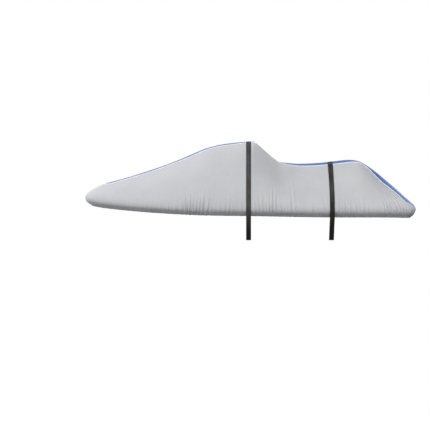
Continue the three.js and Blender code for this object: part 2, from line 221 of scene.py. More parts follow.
# How the cloth leaves the seam and meets the rail: x at the seam, how far it runs out, how far it
# falls meanwhile, and how far it comes down straight onto the rail.
ribRows = metres([
    (-1478, 70, 34, 40),
    (-1300, 110, 40, 80),
    (-1000, 170, 70, 130),
    (-600, 200, 95, 170),
    (-300, 210, 85, 190),
    (-20, 235, 50, 220),
    (120, 190, 90, 170),
    (300, 200, 160, 120),
    (600, 200, 175, 95),
    (1012, 210, 180, 85),
    (1206, 190, 160, 70),
    (1540, 90, 84, 34),
])

# Which point of the seam each point of the rail is tied to: x on the rail, x on the seam.
tieRows = metres([
    (-1000, -1060),
    (-500, -510),
    (600, 600),
    (1100, 1050),
    (1560, 1330),
])

form = {
    "thickness": 0.002,
    "frontRound": 0.090,  # length over which the top panel's front corners are rounded
    "frontPower": 2.6,
    "bow": -1.671,
    "stern": 1.681,
    "railHalf": 0.610,
    "bowRun": 1.500,
    "bowPowers": (2.2, 1.9),
    "sternRun": 0.480,
    "sternPower": 12,
    "hemInset": 0.060,
    "hemEndInset": 0.026,  # how much further in the hem lies at the bow and the stern
    "hemDrop": 0.092,
    "hemTilt": 43,  # slope of the cloth under the rail, in degrees from upright
    "hemRound": (0.04, 0.62),  # the shares of the way to the hem between which it takes that slope
    "hemCurl": (30, 0.88),  # how much more the hem itself turns in, and from which share
    "lastRib": 1.540,  # x where the seam becomes the side panel's rear edge
    "rearBlend": 0.121,  # share of the rail over which the ribs are drawn onto that edge
    "seamSamples": 4001,
    "railSamples": 6001,
    "hemSamples": 201,
}

# Ridge, seam and top panel

ridgePlaces = runningLength(ridgeRows[:, :2])
ridgeEnd = ridgePlaces[-1]
ridgeAt = smoothThrough(ridgePlaces, ridgeRows)


def topPanelPoint(place, w, inset=0.0):
    # a point on the ridge, sunk square to it by a parabola from the sagging middle, w = 0, to the
    # seam, w = 1 on the port side; the front corners round in as a superellipse, and inset is
    # how far inside the seam the panel's own edge lies
    place, w = np.broadcast_arrays(np.asarray(place, float), np.asarray(w, float))
    x, z, sag, drop, half = np.moveaxis(ridgeAt(place), -1, 0)
    nudge = 0.001  # the ridge's direction is taken from this far before to this far after
    step = ridgeAt(np.minimum(place + nudge, ridgeEnd)) - ridgeAt(np.maximum(place - nudge, 0))
    along = unit(step[..., :2])
    lead = 1 - np.clip((place - inset) / form["frontRound"], 0, 1)
    power = form["frontPower"]
    across = w * (1 - lead**power) ** (1 / power) * (1 - inset / half)
    depth = sag + (drop - sag) * across**2
    rise = form["thickness"] / 2 - depth
    point = np.stack([x - along[..., 1] * rise, -across * half, z + along[..., 0] * rise], -1)
    tilt = 2 * (drop - sag) * across / half
    normal = unit(np.stack([-along[..., 1], -tilt, along[..., 0]], -1))
    return point, normal


seamPlaces = np.linspace(0, 1, form["seamSamples"]) ** 1.5 * ridgeEnd  # closest at the front corners
seamPoints, seamNormals = topPanelPoint(seamPlaces, 1)
seamAlong = tangentsFromMiddle(seamPoints)
seamOut = unit(np.cross(seamAlong, seamNormals))
seamNormals = np.cross(seamOut, seamAlong)
seamLengths = runningLength(seamPoints)
seamTotal = seamLengths[-1]
seamAt = lookedUp(seamLengths, np.hstack([seamPoints, seamOut, seamNormals]))
backwards = np.argmax(seamPoints[:, 0])  # from here on the seam turns in under the stern


def seamLengthAt(x):
    return np.interp(x, seamPoints[:backwards, 0], seamLengths[:backwards])


lastRibLength = seamLengthAt(form["lastRib"])
sternRailLength = seamLengths[np.argmax(seamPoints[:, 2] < sheerRows[-1, 1])]

# Rail and ribs


def railOutline():
    # plan outline of the rail: a pointed round bow and a squared stern with rounded corners, both
    # superellipses, walked until it comes to the top panel's width at the stern
    turn = 0.5 - 0.5 * np.cos(np.linspace(0, math.pi, form["railSamples"]))
    x = form["bow"] + (form["stern"] - form["bow"]) * turn
    lead = 1 - np.clip((x - form["bow"]) / form["bowRun"], 0, 1)
    tail = np.clip((x - form["stern"]) / form["sternRun"] + 1, 0, 1)
    runPower, halfPower = form["bowPowers"]
    half = form["railHalf"] * (1 - lead**runPower) ** (1 / halfPower)
    half = half * (1 - tail ** form["sternPower"]) ** (1 / form["sternPower"])
    kept = (x < 0) | (half > ridgeRows[-1, 4])
    return np.stack([x[kept], -half[kept], 0 * x[kept]], -1)


railPoints = railOutline()
railAlong = tangentsFromMiddle(railPoints)
railOut = np.stack([railAlong[:, 1], -railAlong[:, 0], 0 * railAlong[:, 0]], -1)
railLengths = runningLength(railPoints)
railTotal = railLengths[-1]
railPoints[:, 2] = smoothThrough(sheerRows[:, 0], sheerRows[:, 1:])(railPoints[:, 0])[:, 0]
railAt = lookedUp(railLengths, np.hstack([railPoints, railOut]))

tiesOnRail = [0, *np.interp(tieRows[:, 0], railPoints[:, 0], railLengths), railTotal]
tiesOnSeam = [0, *seamLengthAt(tieRows[:, 1]), lastRibLength]
tiedSeamLength = smoothThrough(tiesOnRail, np.array(tiesOnSeam)[:, None])
ribShapeAt = smoothThrough(ribRows[:, 0], ribRows[:, 1:])


def turnInProfile():
    # shares of the hem's inset and drop along the way from the rail to the hem: the cloth rounds the
    # rail, runs straight in under it and curls in a little more at the hem
    way = np.linspace(0, 1, form["hemSamples"])
    curl, curlFrom = form["hemCurl"]
    tilt = form["hemTilt"] * smoothStep(way, *form["hemRound"]) + curl * smoothStep(way, curlFrom, 1)
    steps = np.stack([np.sin(np.radians(tilt)), np.cos(np.radians(tilt))], -1)
    walked = np.vstack([np.zeros(2), np.cumsum((steps[1:] + steps[:-1]) / 2, axis=0)])
    return lookedUp(way, walked / walked[-1])


turnInAt = turnInProfile()


def ribPoint(railLength, down, clear):
    # down 0 to 1 is a cubic that leaves the seam outwards and comes down upright on the rail, and
    # down 1 to 2 the cloth turned in under the rail to the hem
    railLength, down = np.broadcast_arrays(railLength, down)
    seam = seamAt(tiedSeamLength(railLength)[..., 0])
    start = seam[..., :3] + clear * seam[..., 3:6]
    rail = railAt(railLength)
    end, outward = rail[..., :3], rail[..., 3:6]
    flat = unit((end - start) * (1, 1, 0))
    out, fall, flank = np.moveaxis(ribShapeAt(seam[..., 0]), -1, 0)
    up = np.array((0, 0, 1.0))
    first = start + flat * out[..., None] - up * fall[..., None]
    second = end + up * flank[..., None]
    t = np.clip(down, 0, 1)[..., None]
    above = (1 - t) ** 3 * start + 3 * t * (1 - t) ** 2 * first
    above = above + 3 * t**2 * (1 - t) * second + t**3 * end
    turned = turnInAt(np.clip(down - 1, 0, 1))
    inset = form["hemInset"] + form["hemEndInset"] * outward[..., :1] ** 2
    below = end - outward * inset * turned[..., :1] - up * form["hemDrop"] * turned[..., 1:]
    return np.where(down[..., None] <= 1, above, below)


def rearEdgePoint(down, clear):
    # the seam down the transom, split at the rail as the ribs are
    above = lastRibLength + (sternRailLength - lastRibLength) * np.clip(down, 0, 1)
    below = (seamTotal - sternRailLength) * np.clip(down - 1, 0, 1)
    seam = seamAt(above + below)
    return seam[..., :3] + clear * seam[..., 3:6]


def sidePanelPoint(railLength, down, clear):
    # a rib, drawn onto the rear edge by the last rib's own distance from that edge, more and more
    # towards the transom
    railLength, down = np.broadcast_arrays(railLength, down)
    share = np.clip(1 - (railTotal - railLength) / (form["rearBlend"] * railTotal), 0, 1) ** 2
    miss = rearEdgePoint(down, clear) - ribPoint(railTotal, down, clear)
    return ribPoint(railLength, down, clear) + share[..., None] * miss


# Relief: folds, gathers and puckers

# The folds that run up a side panel from the hem, where the elastic gathers it: x on the rail, width,
# how far the cloth steps out there going to the stern (or back in, where it is less than nothing),
# how far above the hem it fades out, and how far its top leans to the stern.
foldRows = metres([
    (-1560, 7.2, 1.5, 70, 50), (-1530, 7.2, 1.5, 80, 50), (-1495, 8.4, 1.5, 80, 50),
    (-1240, 9.6, -2.3, 100, 0), (-1190, 9.6, -2.3, 110, 0), (-1160, 8.4, -2.3, 120, 0),
    (-1105, 9.6, -2.3, 120, 0), (-1050, 9.6, -2.3, 130, 0), (-1000, 9.6, -3, 160, 4),
    (-915, 12, -2.3, 130, 0), (-830, 10.8, -3.6, 200, 4), (-775, 14.4, 3.6, 200, 10),
    (-745, 10.8, -2.8, 150, 0), (-712, 13.2, 3.6, 200, 0), (-684, 10.8, -4.4, 190, -5),
    (-663, 10.8, 4.4, 270, -2), (-645, 10.8, -5.4, 310, -20), (-632, 10.8, 5.4, 320, 22),
    (-612, 10.8, -5.4, 240, 12), (-592, 9.6, 5.4, 210, 15), (-578, 8.4, -3.6, 230, 10),
    (-572, 10.8, 5.4, 320, 45), (-553, 9.6, -4.4, 230, 35), (-538, 10.8, 5.4, 270, 35),
    (-520, 10.8, -5.4, 250, 30), (-507, 13.2, 5.4, 330, 40), (-485, 12, -5.4, 290, 35),
    (-463, 14.4, 6.4, 310, 32), (-438, 12, -6.4, 270, 50), (-408, 12, 3.6, 230, 12),
    (-370, 10.8, 3.6, 170, 0), (-322, 16.8, 1.6, 200, 0), (-300, 12, -2.4, 200, 0),
    (-255, 12, -3.2, 220, 20), (-230, 13.2, 2.4, 180, 10), (-218, 10.8, -3.2, 220, 30),
    (-195, 10.8, 3.2, 200, 10), (-105, 12, 2.4, 220, 8), (-78, 12, -3.2, 220, -12),
    (45, 9.6, 2.9, 220, 0), (57, 10.8, -2.7, 180, 0), (75, 13.2, 1.9, 200, 0),
    (98, 12, -3.3, 290, -34), (116, 13.2, 4.6, 260, -16), (138, 12, -4.1, 280, -13),
    (152, 12, 1.9, 300, 0), (166, 9.6, -1.9, 160, 0), (178, 9.6, 4.1, 250, 0),
    (197, 9.6, -4.1, 250, 0), (213, 10.8, 2.7, 370, 3), (227, 9.6, -4.6, 390, 0),
    (243, 12, 4.1, 370, 9), (268, 13.2, -3.3, 270, 0), (298, 14.4, 3.3, 270, -18),
    (323, 12, -3.3, 190, -6), (338, 9.6, 1.4, 150, 0), (352, 10.8, -2.7, 170, 0),
    (367, 10.8, 1.9, 170, 0), (381, 9.6, -2.7, 160, 0), (420, 14.4, -3.3, 320, 0),
    (447, 14.4, 4.1, 460, -31), (470, 10.8, -1.8, 170, 0), (488, 10.8, 1.4, 190, 0),
    (530, 12, 1.3, 200, 0), (600, 30, 1.3, 220, 0), (635, 12, -2.5, 190, 20),
    (660, 16.8, 0.8, 320, 0), (718, 10.8, -1.7, 150, 0), (742, 12, 1.3, 150, -10),
    (765, 12, -2.5, 260, -38), (792, 12, 2.5, 250, -36), (888, 9.6, 1.8, 230, 0),
    (906, 9.6, -2.3, 230, 0), (922, 9.6, 1.8, 210, 0), (937, 9.6, -1.8, 200, 0),
    (957, 10.8, 2.3, 250, -12), (975, 9.6, -2.3, 250, -18), (991, 9.6, 2.3, 320, -20),
    (1008, 9.6, 2.3, 230, 0), (1026, 10.8, -3.2, 250, 0), (1052, 9.6, -2.5, 150, 0),
    (1066, 9.6, 2.5, 150, 0), (1081, 9.6, -2.5, 160, 0), (1098, 10.8, 3.2, 200, 0),
    (1137, 15.6, 3.2, 270, 0), (1157, 10.8, -2.5, 190, 0), (1185, 15.6, 2, 250, 0),
    (1197, 9.6, -2.5, 120, 0), (1222, 10.8, 2.5, 110, 0), (1268, 10.8, 2.5, 160, 0),
    (1372, 9.6, -4.2, 250, -12), (1389, 9.6, 2.9, 250, -15), (1407, 9.6, -3.4, 250, -18),
    (1424, 9.6, 4.2, 250, -26), (1439, 9.6, -3.4, 240, -20), (1462, 9.6, -2.9, 170, 0),
    (1476, 9.6, 4.2, 180, 0), (1489, 9.6, -4.2, 290, 0), (1508, 12, 4.2, 280, 0),
    (1527, 9.6, -3.4, 220, 0), (1545, 10.8, 4.2, 210, 0), (1561, 9.6, -4.2, 190, -10),
    (1580, 10.8, 4.2, 200, -10), (1597, 9.6, -3.4, 170, -15), (1613, 10.8, 3.4, 150, -20),
])

# How the small gathers between them vary along the hem: x on the rail, height, how far up they reach,
# and how far their tops lean to the stern.
gatherRows = metres([
    (-1671, 0.8, 60, 20),
    (-1300, 2, 85, 0),
    (-900, 1.9, 105, 0),
    (-500, 1, 160, 10),
    (200, 1, 160, 0),
    (900, 1, 140, 0),
    (1500, 1.2, 140, -20),
    (1681, 1.5, 130, -30),
])
gatherAt = smoothThrough(gatherRows[:, 0], gatherRows[:, 1:])


def foldShape(off, up):
    # a soft S across, a dip that turns into a ridge at its middle and is as high as its height says;
    # it keeps that for the first fifth of its reach, then fades
    return 2.33 * off * np.exp(-off * off) * (1 - smoothStep(up, 0.2, 1))


def gatherShape(off, up):
    # a bell across, which fades as a squared cosine up to its reach
    return np.exp(-off * off) * np.cos(up * math.pi / 2) ** 2


def folded(position, rise, rows, shape):
    # the sum of the folds in a table, each of one shape across and up, leaning with its rise
    relief = np.zeros(np.broadcast(position, rise).shape)
    for centre, width, height, reach, lean in rows:
        up = np.clip(rise / reach, 0, 1)
        relief += height * shape((position - centre - lean * up) / width, up)
    return relief


def scattered(dice, start, end, spacing, jitter=0.42):
    places = np.arange(start, end, spacing)
    return places + dice.uniform(-jitter, jitter, places.shape) * spacing


def randomFolds(dice, start, end, spacing, ranges):
    # folds about a spacing apart, with widths, heights, reaches and leans drawn from four ranges
    centres = scattered(dice, start, end, spacing)
    drawn = [dice.uniform(low, high, centres.shape) for low, high in ranges]
    return np.stack([centres, *drawn], -1)


def softHeaving(dice, x, y, settings):
    # a sum of nine long waves in random directions, each 0.7 to 1.6 times the length named, which
    # reads as cloth that isn't quite taut
    relief = np.zeros(np.broadcast(x, y).shape)
    for turn, phase, stretch in dice.uniform(0, 1, (9, 3)):
        pace = 2 * math.pi / (settings["heavingLength"] * (0.7 + 0.9 * stretch))
        across = x * math.cos(math.pi * turn) + y * math.sin(math.pi * turn)
        relief += np.sin(across * pace + phase * 2 * math.pi)
    return relief * settings["heaving"] / 3


puckers = {
    "start": 0.02,
    "width": 0.36,  # share of their spacing
    "rise": 0.005,  # they deepen over this far from the seam
    "reach": 0.022,  # and then fade over this far, times one of these
    "reaches": (0.6, 1.5),
}


def seamPuckers(dice, along, away, settings, end):
    # small bells square to the seam, deepest a little way from it and gone further out
    relief = np.zeros(np.broadcast(along, away).shape)
    spacing = settings["puckerSpacing"]
    for centre in scattered(dice, puckers["start"], end, spacing):
        size, reach = dice.uniform(-1, 1), puckers["reach"] * dice.uniform(*puckers["reaches"])
        fading = np.exp(-away / reach) * (1 - np.exp(-away / puckers["rise"]))
        relief += size * bell(along, centre, puckers["width"] * spacing) * fading
    return relief * settings["puckers"]


print(f"outlines worked out: seam {seamTotal:.3f} m, rail {railTotal:.3f} m")

# Meshes from grids


def gridNormals(points):
    # square to the lines down and along the grid, pointing out of the cover
    return unit(np.cross(np.gradient(points, axis=1), np.gradient(points, axis=0)))


def buildMesh(name, points, faces, chart=None, marks=None, sharpFrom=50):
    mesh = bpy.data.meshes.new(name)
    mesh.from_pydata(points.reshape(-1, 3).tolist(), [], faces)
    if chart is not None:
        corners = np.empty(len(mesh.loops), np.int32)
        mesh.loops.foreach_get("vertex_index", corners)
        layer = mesh.uv_layers.new(name="cloth")
        layer.data.foreach_set("uv", chart.reshape(-1, 2)[corners].astype(np.float32).ravel())
    for label, values in (marks or {}).items():
        layer = mesh.attributes.new(label, "FLOAT", "POINT")
        layer.data.foreach_set("value", values.astype(np.float32).ravel())
    mesh.shade_smooth()
    mesh.set_sharp_from_angle(angle=math.radians(sharpFrom))
    mesh.validate()
    return mesh


def tubeFaces(number):
    # the four-sided faces between neighbouring rings, from the numbers of the rings' points
    after = np.roll(number, -1, axis=-1)
    corners = number[..., :-1, :], after[..., :-1, :], after[..., 1:, :], number[..., 1:, :]
    return np.stack(corners, -1).reshape(-1, 4)


def sheetMesh(name, outer, thickness, chart, marks, rounding=3):
    # a closed sheet: each column of the outer grid is carried round its lower edge, back up the
    # inner face and round its upper edge, both edges as half circles, and the ends are capped
    columns, rows = outer.shape[:2]
    normals = gridNormals(outer)
    depth = np.broadcast_to(thickness, (columns, rows))[..., None]
    inner = outer - normals * depth
    turn = math.pi * np.arange(1, rounding)[:, None] / rounding

    def edge(row, inward):
        away = unit(outer[:, row] - outer[:, inward])[:, None]
        middle = ((outer + inner) / 2)[:, row, None]
        swing = np.cos(turn) * normals[:, row, None] + np.sin(turn) * away
        return middle + depth[:, row, None] / 2 * swing

    def loopOf(values, lower, upper):
        return np.concatenate([values[0], lower, values[1][:, ::-1], upper], axis=1)

    def loopOfSame(values):
        lower = np.repeat(values[:, -1:], rounding - 1, axis=1)
        upper = np.repeat(values[:, :1], rounding - 1, axis=1)
        return loopOf((values, values), lower, upper)

    points = loopOf((outer, inner), edge(-1, -2), edge(0, 1)[:, ::-1])
    around = points.shape[1]
    number = np.arange(columns * around).reshape(columns, around)
    faces = tubeFaces(number).tolist()
    back = number[:, rows + rounding - 1 : 2 * rows + rounding - 1][:, ::-1]
    for column, flip in ((0, 1), (-1, -1)):
        front, rear = number[column, :rows], back[column]
        caps = np.stack([front[1:], front[:-1], rear[:-1], rear[1:]], -1)[:, ::flip]
        lower = number[column, rows - 1 : rows + rounding]
        upper = np.append(number[column, 2 * rows + rounding - 2 :], number[column, 0])
        faces += caps.tolist() + [lower[::-flip].tolist(), upper[::-flip].tolist()]
    face, bend = np.zeros((columns, rows)), np.full((columns, rounding - 1), 0.5)
    inside = loopOf((face, face + 1), bend, bend)
    marks = {label: loopOfSame(values) for label, values in marks.items()}
    return buildMesh(name, points, faces, loopOfSame(chart), {**marks, "inside": inside})


# Side panels

sidePanel = {
    "columns": 1080,
    "endColumns": (0, 0.0015, 0.003, 0.005, 0.0075, 0.0105),
    "endRun": 0.0145,  # from here to the other end the columns are evenly spaced
    "seamRows": (0, 0.003, 0.007, 0.013, 0.022),
    "middleRows": 15,
    "hemRows": (
        0, 0.003, 0.006, 0.010, 0.015, 0.020, 0.024, 0.029, 0.038, 0.049,
        0.061, 0.074, 0.089, 0.107, 0.128, 0.152, 0.180, 0.215,
    ),
    "fullGirth": 0.45,  # on a shorter column these rows are drawn together, down to half
    "samples": 121,
    "clear": 0.0046,  # cloth edge to the middle of the piping, which it meets
    "noseGap": 0.0002,
    "noseRise": (0.0010, 0.004),  # the nose seam stands up this high, over this width
    "seamEase": 0.035,  # the folds grow over this far from the seam, and from either end
    "endEase": 0.05,
    "heldHem": (0.010, 0.110),  # the elastic holds the hem level, and the folds grow above it
    "heldShare": 0.25,  # what is left of their height on the hem
    "loosening": (0.03, 0.4),  # how far a fold moves, and how much its height changes, at the most
    "gatherStart": 0.03,
    "gatherSpacing": 0.013,
    # ranges: width in spacings, height and reach in shares of the table's, and lean off the table's
    "gathers": ((0.341, 0.713), (0.45, 1.25), (0.45, 1.1), (-0.015, 0.015)),
    "creaseSpan": (0.25, 0.15),  # creases keep this far from the nose and from the stern
    "creaseSpacing": 0.045,
    "creases": ((0.012, 0.024), (-0.0014, 0.0014), (0.35, 0.85), (-0.08, 0.08)),
    "heaving": 0.0016,
    "heavingLength": 0.32,
    "puckers": 0.0011,
    "puckerSpacing": 0.024,
}

hem = {
    "band": 0.024,  # the hem is turned up this far and sewn down
    "bandEdge": (0.021, 0.026),  # the doubled cloth ends between these
    "bandRise": 0.0006,
    "bandThickness": 0.0032,
    "cordAt": 0.0075,  # the elastic cord inside it
    "cordRise": 0.0012,
    "cordSpread": 0.005,
    "cordThickness": 0.0058,
    "cordWidth": 0.006,
    "stitchDip": 0.0006,
    "stitchSpread": 0.0025,
}

straps = {
    "names": ("front_strap", "rear_strap"),
    "endHalf": 0.560,
    "endHeight": -1.001,
    "railHeight": -0.65,
    "width": 0.0485,
    "across": 9,
    "thickness": 0.0021,
    "gap": 0.0006,
    "press": 0.0012,  # how far a strap sinks into the cloth, from this far beside a seam on
    "pressEase": 0.02,
    "cover": 0.56,  # half the breadth that a strap flattens, in strap widths
    "flatten": 0.8,  # how much of the folds it takes away
    "slab": 0.006,  # half the breadth of cloth that each line of the strap lies on
    "apart": 0.0001,  # points of a line closer than this count as one
    "fan": 2400,
    "smoothing": 4,
    "steps": 420,
}

# Where the middle of each strap lies at each height: z, x of the front strap, x of the rear strap.
strapRows = metres([
    (-1001, -14, 827),
    (-870, -14, 832),
    (-760, -14, 837),
    (-650, -14, 837),
    (-550, -14, 835),
    (-450, -14, 830),
    (-350, -14, 824),
    (-255, -14, 816.5),
    (-205, -14, 812.5),
])
strapsAt = smoothThrough(strapRows[:, 0], strapRows[:, 1:])


def underStraps(points):
    # 1 under a strap and 0 beside it
    off = points[..., :1] - strapsAt(points[..., 2])
    return np.exp(-((off / (straps["cover"] * straps["width"])) ** 6)).max(-1)


def hemRelief(fromHem):
    # the sewn-up band stands a little proud with the cord in it, and the stitches draw the cloth in
    band = hem["bandRise"] * (1 - smoothStep(fromHem, *hem["bandEdge"]))
    cord = hem["cordRise"] * bell(fromHem, hem["cordAt"], hem["cordSpread"])
    return band + cord - hem["stitchDip"] * bell(fromHem, hem["band"], hem["stitchSpread"])


def hemThickness(fromHem):
    # one thickness of cloth, more in the band, and more again round the cord
    band = 1 - smoothStep(fromHem, *hem["bandEdge"])
    cord = bell(fromHem, hem["cordAt"], hem["cordWidth"])
    thickness = form["thickness"] + (hem["bandThickness"] - form["thickness"]) * band
    return thickness + (hem["cordThickness"] - hem["bandThickness"]) * cord


def raised(points, normals, loose, sewn, fromSeam, fromHem):
    # moved out along the normals by the loose folds, which a strap flattens, by the puckers and the
    # hem, which it doesn't, and back in by as much as a strap presses
    cover = underStraps(points)
    relief = loose * (1 - straps["flatten"] * cover) + sewn + hemRelief(fromHem)
    relief -= straps["press"] * cover * smoothStep(fromSeam, 0, straps["pressEase"])
    return points + normals * relief[..., None]


def atLengths(walked, values, lengths):
    # for each column, the value reached at each of the wanted lengths, straight between samples
    found = (walked[:, None, :] <= lengths[:, :, None]).sum(-1) - 1
    found = np.clip(found, 0, len(values) - 2)
    low, high = np.take_along_axis(walked, found, 1), np.take_along_axis(walked, found + 1, 1)
    return values[found] + (values[found + 1] - values[found]) * (lengths - low) / (high - low)


def sidePanelRows(along):
    # how far each row of the grid lies from the seam, and how far down its rib: rows at set
    # distances from the seam and from the hem, and evenly spaced ones between them
    down = np.linspace(0, 2, sidePanel["samples"])
    walked = runningLength(sidePanelPoint(along, down, sidePanel["clear"]))
    length = walked[:, -1:]
    scale = np.clip(length / sidePanel["fullGirth"], 0.5, 1)
    top = np.array(sidePanel["seamRows"]) * scale
    bottom = length - np.array(sidePanel["hemRows"][::-1]) * scale
    share = np.linspace(0, 1, sidePanel["middleRows"] + 2)[1:-1]
    middle = top[:, -1:] + (bottom[:, :1] - top[:, -1:]) * share
    fromSeam = np.concatenate([top, middle, bottom], axis=1)
    return fromSeam, length - fromSeam, atLengths(walked, down, fromSeam)


def loosened(rows, dice, loose):
    # the same folds moved a little and made more or less deep, so that no two sides are alike
    change = dice.uniform(-1, 1, (2, len(rows))) * loose
    shift, share = sidePanel["loosening"]
    moved = rows.copy()
    moved[:, 0] += shift * change[0]
    moved[:, 2] *= 1 + share * change[1]
    return moved


def randomGathers(dice):
    # small gathers all along the hem, out and in by turns, sized by their table
    spacing = sidePanel["gatherSpacing"]
    rows = randomFolds(dice, sidePanel["gatherStart"], railTotal, spacing, sidePanel["gathers"])
    height, reach, lean = gatherAt(railAt(rows[:, 0])[:, 0]).T
    rows[:, 1] *= spacing
    rows[:, 2] *= height * (-1.0) ** np.arange(len(rows))
    rows[:, 3] *= reach
    rows[:, 4] += lean
    return rows


def sidePanelGrid(dice, loose):
    # ribs of cloth every few millimetres of rail, raised by folds, gathers, long faint creases and
    # puckers
    ends, run = np.array(sidePanel["endColumns"]), sidePanel["endRun"]
    spread = np.linspace(run, railTotal - run, sidePanel["columns"] - 2 * len(ends))
    along = np.concatenate([ends, spread, railTotal - ends[::-1]])[:, None]
    fromSeam, fromHem, down = sidePanelRows(along)
    points = sidePanelPoint(along, down, sidePanel["clear"])
    normals = gridNormals(points)

    above = points[..., 2] - points[:, -1:, 2]
    folds = folded(railAt(along[:, 0])[:, :1], above, loosened(foldRows, dice, loose), foldShape)
    folds += folded(along, fromHem, randomGathers(dice), gatherShape)
    first, last = sidePanel["creaseSpan"]
    creases = randomFolds(
        dice, first, railTotal - last, sidePanel["creaseSpacing"], sidePanel["creases"]
    )
    taut = folded(along, fromHem, creases, gatherShape) + softHeaving(dice, along, fromSeam, sidePanel)
    held = smoothStep(fromHem, *sidePanel["heldHem"])
    share = sidePanel["heldShare"]
    ease = smoothStep(fromSeam, 0, sidePanel["seamEase"])
    ease = ease * smoothStep(np.minimum(along, railTotal - along), 0, sidePanel["endEase"])
    sewn = seamPuckers(dice, along, fromSeam, sidePanel, railTotal)
    rise, width = sidePanel["noseRise"]
    sewn += rise * bell(along, 0, width)
    relief = ease * (held * taut + (share + (1 - share) * held) * folds)
    points = raised(points, normals, relief, sewn, fromSeam, fromHem)
    points[0, :, 1] = -sidePanel["noseGap"]
    chart = np.stack([np.broadcast_to(along, fromSeam.shape), fromSeam], -1)
    return points, chart, {"fromSeam": fromSeam, "fromHem": fromHem}


# Top panel

topPanel = {
    "frontRows": (0.0004, 0.0014, 0.003, 0.0055, 0.009, 0.014),
    "rearRows": (0.009, 0.006, 0.003, 0),
    "spread": (0.0055, 0.004),  # from those rows to the evenly spaced ones
    "rows": 690,
    "across": 40,
    "ease": 0.03,
    "gatherSpan": 0.16,  # the hem's gathers run this far to either side
    "gatherSpacing": 0.017,
    "gathers": ((0.007, 0.012), (0.0008, 0.0022), (0.07, 0.16), (-0.01, 0.01)),
    "puckers": 0.0009,
    "puckerSpacing": 0.027,
    "heaving": 0.0012,
    "heavingLength": 0.24,
}


def topPanelGrid(dice):
    # rows across the panel from its front edge to the stern hem, closer together near the seams
    inset = sidePanel["clear"]
    front = np.array(topPanel["frontRows"])
    rear = ridgeEnd - inset - np.array(topPanel["rearRows"])
    ahead, behind = topPanel["spread"]
    spread = np.linspace(front[-1] + ahead, rear[0] - behind, topPanel["rows"])
    fromFront = np.concatenate([front, spread, rear])[:, None]
    place = inset + fromFront
    k = np.linspace(-1, 1, topPanel["across"] + 1)
    w = 0.5 * k + 0.5 * np.sin(k * math.pi / 2)
    points, normals = topPanelPoint(place, w, inset)
    y = points[..., 1]
    fromSeam = (1 - np.abs(w)) * np.abs(y[:, :1])
    fromHem = np.broadcast_to(ridgeEnd - place, fromSeam.shape)
    fromEdge = np.minimum(fromSeam, fromFront)

    span = topPanel["gatherSpan"]
    gathers = randomFolds(dice, -span, span, topPanel["gatherSpacing"], topPanel["gathers"])
    gathers[:, 2] *= -((-1.0) ** np.arange(len(gathers)))
    loose = folded(y, fromHem, gathers, gatherShape) + softHeaving(dice, place, y, topPanel)
    sewn = np.zeros(y.shape)
    for side in (y < 0, y >= 0):
        sewn += np.where(side, seamPuckers(dice, place, fromSeam, topPanel, ridgeEnd), 0)
    sewn *= smoothStep(fromFront, 0, topPanel["ease"])
    loose *= smoothStep(fromEdge, 0, topPanel["ease"])
    points = raised(points, normals, loose, sewn, fromSeam, fromHem)
    chart = np.stack([np.broadcast_to(place, y.shape), -y], -1)
    return points, chart, {"fromSeam": fromEdge, "fromHem": fromHem, "fromSide": fromSeam}


# Piping

piping = {
    "radius": 0.005,
    "endShares": (0.5, 0.94),  # its last rings are drawn in to these shares of the radius
    "sides": 10,
    "spacing": 0.005,
}


def pipingMesh():
    # a round cord carried along the port seam to the nose and back along the other seam, its ends
    # drawn in to a dome
    count = int(seamTotal / piping["spacing"])
    port = seamAt(np.linspace(seamTotal, 0, count + 1))
    mirror = np.array((1, -1, 1) * 3)
    path = np.vstack([port, (port * mirror)[-2::-1]])
    centre, out, normal = path[:, :3], path[:, 3:6], path[:, 6:9]
    radius = np.full(len(path), piping["radius"])
    for ring, share in enumerate(piping["endShares"]):
        radius[[ring, -1 - ring]] *= share
    turn = 2 * math.pi * np.arange(piping["sides"]) / piping["sides"]
    swing = np.cos(turn)[:, None] * out[:, None] + np.sin(turn)[:, None] * normal[:, None]
    points = centre[:, None] + radius[:, None, None] * swing
    number = np.arange(len(path) * piping["sides"]).reshape(len(path), -1)
    faces = tubeFaces(number)[:, [0, 3, 2, 1]].tolist()
    faces += [number[0].tolist(), number[-1, ::-1].tolist()]
    along = runningLength(centre)[:, None] + 0 * turn
    chart = np.stack([along, piping["radius"] * turn + 0 * along], -1)
    return buildMesh("piping_cord", points, faces, chart, sharpFrom=75)


# Straps


